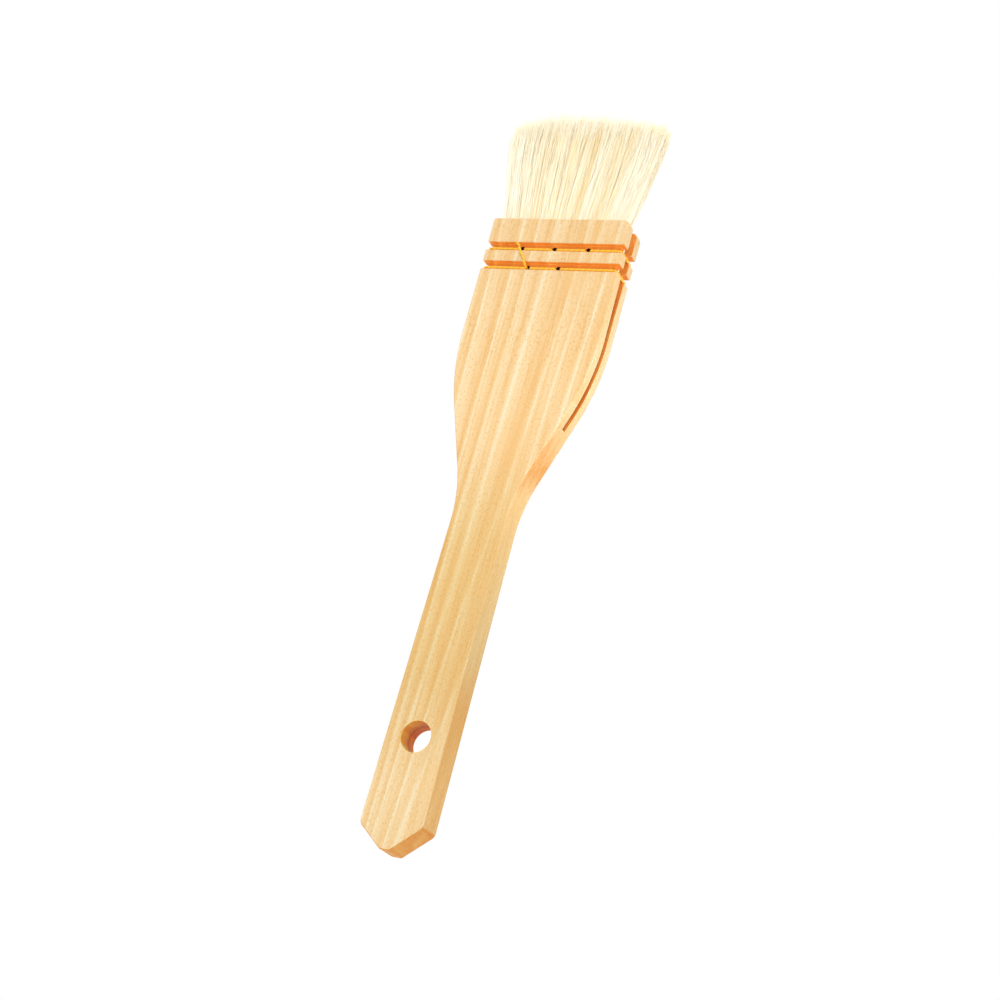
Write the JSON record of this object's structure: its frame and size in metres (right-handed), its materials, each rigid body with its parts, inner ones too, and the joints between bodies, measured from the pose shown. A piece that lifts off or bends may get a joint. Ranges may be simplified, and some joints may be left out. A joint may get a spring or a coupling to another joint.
{
  "type": "pastry brush",
  "caption": "Flat pastry brush for glazing and dusting: split pine handle with a pointed butt and hang hole, soft goat hair sewn into the split, and a tuft that bends in use.",
  "frame": {"origin": "middle of the blunt flat at the tip of the pointed butt", "axes": "+Z along the handle from the butt to the hair, +X across the width to the right when looking at the front, +Y through the thickness from the front face to the back face"},
  "size_m": [0.049, 0.0109, 0.2329],
  "materials": {
    "pine": "bare sanded pine, straight growth rings along the handle",
    "hair": "soft pale cream goat hair",
    "thread": "twisted golden yellow thread",
    "resin": "cured amber resin"
  },
  "bodies": {
    "handle": {"handle": "pine", "resin_strip": "resin", "hair_root_front": "hair", "hair_root_middle": "hair", "hair_root_back": "hair", "upper_stitch_thread": "thread", "lower_stitch_thread": "thread", "tied_thread_end": "thread"},
    "tuft": {"hair_free_front": "hair", "hair_free_middle": "hair", "hair_free_back": "hair"}
  },
  "joints": [
    {"name": "tuft_flex", "type": "hinge", "parent": "handle", "child": "tuft", "pos_m": [0, 0, 0.2], "axis": [1, 0, 0], "range_deg": [-40, 40], "stiffness_Nm_per_rad": 0.05}
  ]
}
